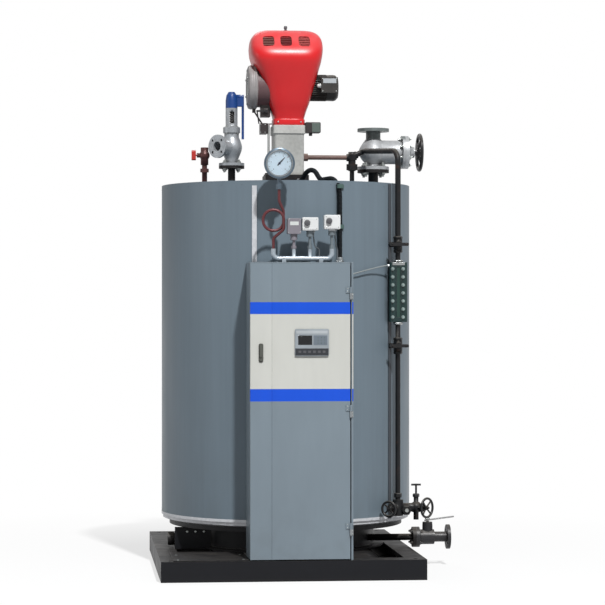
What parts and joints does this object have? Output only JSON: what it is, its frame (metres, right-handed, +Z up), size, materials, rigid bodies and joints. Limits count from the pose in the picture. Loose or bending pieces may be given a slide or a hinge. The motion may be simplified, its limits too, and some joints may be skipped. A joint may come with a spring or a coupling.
{
  "type": "industrial vertical steam boiler",
  "caption": "Vertical steam boiler with a top-mounted burner, insulated round jacket, front control cabinet, base frame, safety and steam valves and a level gauge.",
  "frame": {"origin": "on the floor, under the vertical axis of the round jacket", "axes": "+Z up along the jacket's axis, the control cabinet faces -Y, +X to the right as seen from the front"},
  "size_m": [1.528, 1.613, 2.778],
  "materials": {
    "base_paint": "satin",
    "jacket_sheet": "satin, painted sheet",
    "galvanised_trim": "galvanised",
    "strip_dark": "satin, dark blue-grey",
    "vessel_steel": "bare steel plate",
    "nozzle_black": "satin",
    "flue_steel": "rolled",
    "cabinet_paint": "fine powder coat, with blue and white bands",
    "hinge_steel": "plated",
    "lock_black": "matte",
    "controller_plastic": "light grey housing, dark screen",
    "zinc_plate": "zinc plated",
    "switchgear_plastic": "grey plastic",
    "hood_red": "moulded, glossy",
    "motor_black": "satin",
    "intake_grey": "moulded",
    "burner_casting": "cast",
    "servo_black": "matte",
    "valve_silver": "silver painted casting",
    "cap_blue": "gloss",
    "vent_bronze": "dull bronze",
    "handle_red": "dipped grip",
    "wheel_black": "gloss",
    "gas_pipe_brown": "satin",
    "pipe_black": "black steel pipe and fittings",
    "sensing_steel": "plated tube",
    "gauge_green": "dark green",
    "gauge_glass": "reflex glass",
    "lever_steel": "plated",
    "dial_case": "slate grey",
    "dial_face": "pale, matt print",
    "siphon_copper": "dull copper",
    "manifold_steel": "plated",
    "limit_grey": "grey housing",
    "controller_white": "off-white housing",
    "conduit_black": "flexible conduit"
  },
  "bodies": {
    "boiler": {"base_frame": "base_paint", "base_beams": "base_paint", "base_pan": "base_paint", "front_deck_plate": "base_paint", "support_skirt": "base_paint", "bottom_ring": "base_paint", "jacket_shell": "jacket_sheet", "jacket_top": "jacket_sheet", "jacket_trim": "galvanised_trim", "jacket_strip": "galvanised_trim", "column_strip": "strip_dark", "pressure_shell": "vessel_steel", "top_nozzles": "nozzle_black", "burner_flange": "nozzle_black", "feed_inlet": "nozzle_black", "blowdown_pipe": "nozzle_black", "flue_outlet": "flue_steel", "cabinet_body": "cabinet_paint", "door_hinges": "hinge_steel", "mounting_plate": "zinc_plate", "switchgear": "switchgear_plastic", "burner_hood": "hood_red", "burner_motor": "motor_black", "air_intake": "intake_grey", "burner_neck": "burner_casting", "burner_servo": "servo_black", "pressure_switch": "servo_black", "safety_body": "valve_silver", "safety_bonnet": "valve_silver", "steam_valve_body": "valve_silver", "steam_bonnet": "valve_silver", "blowdown_valve": "valve_silver", "safety_cap": "cap_blue", "vent_valve": "vent_bronze", "gas_pipe": "gas_pipe_brown", "gauge_loop_pipe": "pipe_black", "drain_manifold": "pipe_black", "gauge_cocks": "pipe_black", "sensing_pipe": "sensing_steel", "level_gauge_body": "gauge_green", "level_gauge_glass": "gauge_glass", "gauge_case": "dial_case", "gauge_face": "dial_face", "siphon": "siphon_copper", "instrument_manifold": "manifold_steel", "limit_controller": "limit_grey", "pressure_controllers": "controller_white", "conduit": "conduit_black"},
    "door": {"cabinet_door": "cabinet_paint", "door_lock": "lock_black", "door_controller": "controller_plastic"},
    "steam_wheel": {"steam_handwheel": "wheel_black"},
    "left_wheel": {"left_drain_wheel": "wheel_black"},
    "right_wheel": {"right_drain_wheel": "wheel_black"},
    "blowdown_handle": {"blowdown_lever": "lever_steel"},
    "vent_grip": {"vent_handle": "handle_red"},
    "safety_lift": {"safety_lever": "cap_blue"},
    "upper_lever": {"upper_cock_lever": "wheel_black"},
    "lower_lever": {"lower_cock_lever": "wheel_black"},
    "test_handle": {"test_cock_handle": "wheel_black"}
  },
  "joints": [
    {"name": "cabinet_door_hinge", "type": "hinge", "parent": "boiler", "child": "door", "pos_m": [0.2375, -0.8455, 0.82], "axis": [0, 0, 1], "range_deg": [0, 110]},
    {"name": "steam_wheel_turn", "type": "hinge", "parent": "boiler", "child": "steam_wheel", "pos_m": [0.70992, 0.06, 2.131], "axis": [1, 0, 0], "range_deg": [0, 1440]},
    {"name": "left_drain_turn", "type": "hinge", "parent": "boiler", "child": "left_wheel", "pos_m": [0.46635, -0.52796, 0.318], "axis": [-0.53, -0.848, 0], "range_deg": [0, 1080]},
    {"name": "right_drain_turn", "type": "hinge", "parent": "boiler", "child": "right_wheel", "pos_m": [0.66571, -0.47651, 0.318], "axis": [0.7, -0.7141, 0], "range_deg": [0, 1080]},
    {"name": "blowdown_lever_turn", "type": "hinge", "parent": "boiler", "child": "blowdown_handle", "pos_m": [0.712, -0.2, 0.22], "axis": [0, 0, 1], "range_deg": [0, 90]},
    {"name": "vent_handle_turn", "type": "hinge", "parent": "boiler", "child": "vent_grip", "pos_m": [-0.46, 0, 2.106], "axis": [-1, 0, 0], "range_deg": [0, 90]},
    {"name": "safety_lever_lift", "type": "hinge", "parent": "boiler", "child": "safety_lift", "pos_m": [-0.233, 0, 2.41], "axis": [-1, 0, 0], "range_deg": [0, 25]},
    {"name": "upper_cock_turn", "type": "hinge", "parent": "boiler", "child": "upper_lever", "pos_m": [0.52311, -0.495, 1.636], "axis": [0, -1, 0], "range_deg": [0, 90]},
    {"name": "lower_cock_turn", "type": "hinge", "parent": "boiler", "child": "lower_lever", "pos_m": [0.52311, -0.495, 1.129], "axis": [0, -1, 0], "range_deg": [0, 90]},
    {"name": "test_cock_turn", "type": "hinge", "parent": "boiler", "child": "test_handle", "pos_m": [0.61811, -0.42795, 0.38], "axis": [0, 0, 1], "range_deg": [0, 90]}
  ]
}
